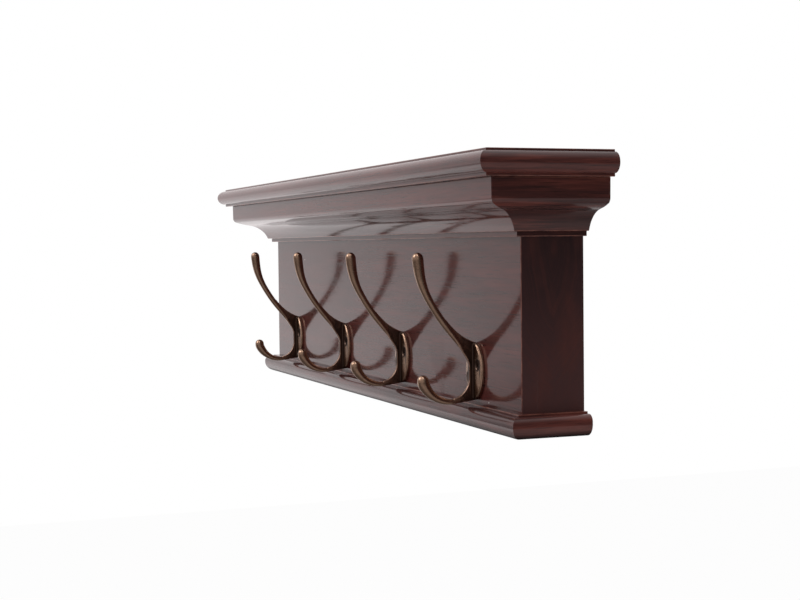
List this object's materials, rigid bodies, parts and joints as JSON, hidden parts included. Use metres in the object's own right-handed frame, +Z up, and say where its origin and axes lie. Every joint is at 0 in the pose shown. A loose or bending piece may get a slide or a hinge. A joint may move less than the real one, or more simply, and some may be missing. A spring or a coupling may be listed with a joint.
{
  "type": "coat rack",
  "caption": "Wall coat rack in dark stained wood: a moulded shelf cap over a flat panel that carries cast double hooks, hung on keyhole plates.",
  "frame": {"origin": "centre of the back face, which lies on the wall, half way along and half way up", "axes": "+X along the rack to the right as seen from the front, +Y into the wall, +Z up"},
  "size_m": [0.73, 0.103, 0.2],
  "materials": {
    "board_wood": "dark red-brown stain under satin lacquer",
    "moulding_wood": "dark red-brown stain under satin lacquer",
    "hook_bronze": "aged bronze, darkened and rubbed lighter on the high parts",
    "screw_bronze": "aged bronze",
    "plated_steel": "zinc plated",
    "pin_steel": "bright steel wire",
    "dowel_wood": "plain turned wood"
  },
  "bodies": {
    "root": {"front_board": "board_wood", "back_board": "board_wood", "top_board": "board_wood", "cap_edge_front": "moulding_wood", "cap_edge_left": "moulding_wood", "cap_edge_right": "moulding_wood", "crown_front": "moulding_wood", "crown_left": "moulding_wood", "crown_right": "moulding_wood", "base_front": "moulding_wood", "base_left": "moulding_wood", "base_right": "moulding_wood", "hook_1": "hook_bronze", "hook_2": "hook_bronze", "hook_3": "hook_bronze", "hook_4": "hook_bronze", "hook_screws": "screw_bronze", "keyhole_plate_left": "plated_steel", "keyhole_plate_right": "plated_steel", "plate_screws": "plated_steel", "crown_pins": "pin_steel", "base_pins": "pin_steel", "cap_dowels": "dowel_wood"}
  },
  "joints": []
}
